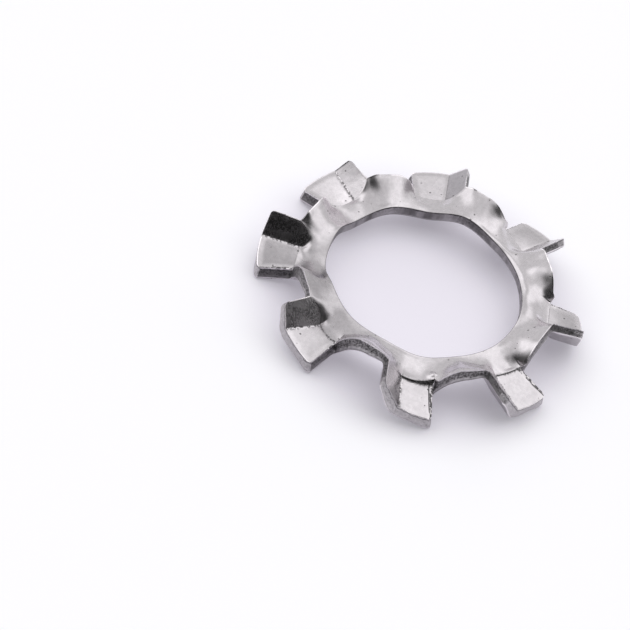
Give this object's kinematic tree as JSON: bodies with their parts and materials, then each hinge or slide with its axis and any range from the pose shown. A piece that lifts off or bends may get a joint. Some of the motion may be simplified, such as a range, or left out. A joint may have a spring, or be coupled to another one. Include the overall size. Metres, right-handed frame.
{
  "type": "external tooth lock washer",
  "caption": "Dished sheet-metal lock washer with punched V-shaped teeth round its outer edge and a clearance bore for a screw",
  "frame": {"origin": "on the bore's axis, level with the middle of the sheet at the bore's rim", "axes": "+Z is the bore's axis and points out of the dished, punched side; +X runs through the fold of one tooth; +Y completes a right-handed frame"},
  "size_m": [0.0146, 0.0146, 0.002],
  "materials": {
    "spring_steel": "satin, as stamped"
  },
  "bodies": {
    "root": {"lock_washer": "spring_steel"}
  },
  "joints": []
}
